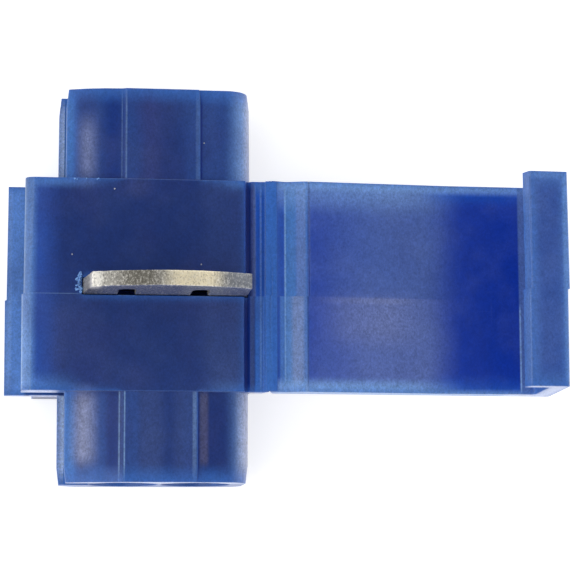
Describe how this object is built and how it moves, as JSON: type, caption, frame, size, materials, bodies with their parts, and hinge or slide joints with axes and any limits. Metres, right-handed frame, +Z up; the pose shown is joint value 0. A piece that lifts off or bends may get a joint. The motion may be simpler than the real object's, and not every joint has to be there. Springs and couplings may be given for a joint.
{
  "type": "wire splice connector",
  "caption": "Blue plastic wire splice lying open, with two wire channels side by side, a slotted metal contact plate standing proud and a folding cover with a latch hook.",
  "frame": {"origin": "on the underside of the body, midway between the two wire channels, on the mould's parting plane", "axes": "+Z up, away from the underside; the wires run along Y; the open cover lies toward +X"},
  "size_m": [0.0291, 0.0207, 0.0095],
  "materials": {
    "blue_polypropylene": "semi-gloss translucent polypropylene",
    "tinned_brass": "matt tin plate with sheared edges"
  },
  "bodies": {
    "body": {"body_moulding": "blue_polypropylene"},
    "cover": {"latch_cover": "blue_polypropylene"},
    "contact": {"contact_plate": "tinned_brass"}
  },
  "joints": [
    {"name": "cover_fold", "type": "hinge", "parent": "body", "child": "cover", "pos_m": [0.00568, 0, 0.00536], "axis": [0, -1, 0], "range_deg": [0, 182.4]},
    {"name": "contact_press", "type": "slide", "parent": "body", "child": "contact", "axis": [0, 0, -1], "range_m": [0, 0.00345]}
  ],
  "couplings": [
    {"joint": "cover_fold", "follows": "contact_press", "rad_per_m": 922.7}
  ]
}
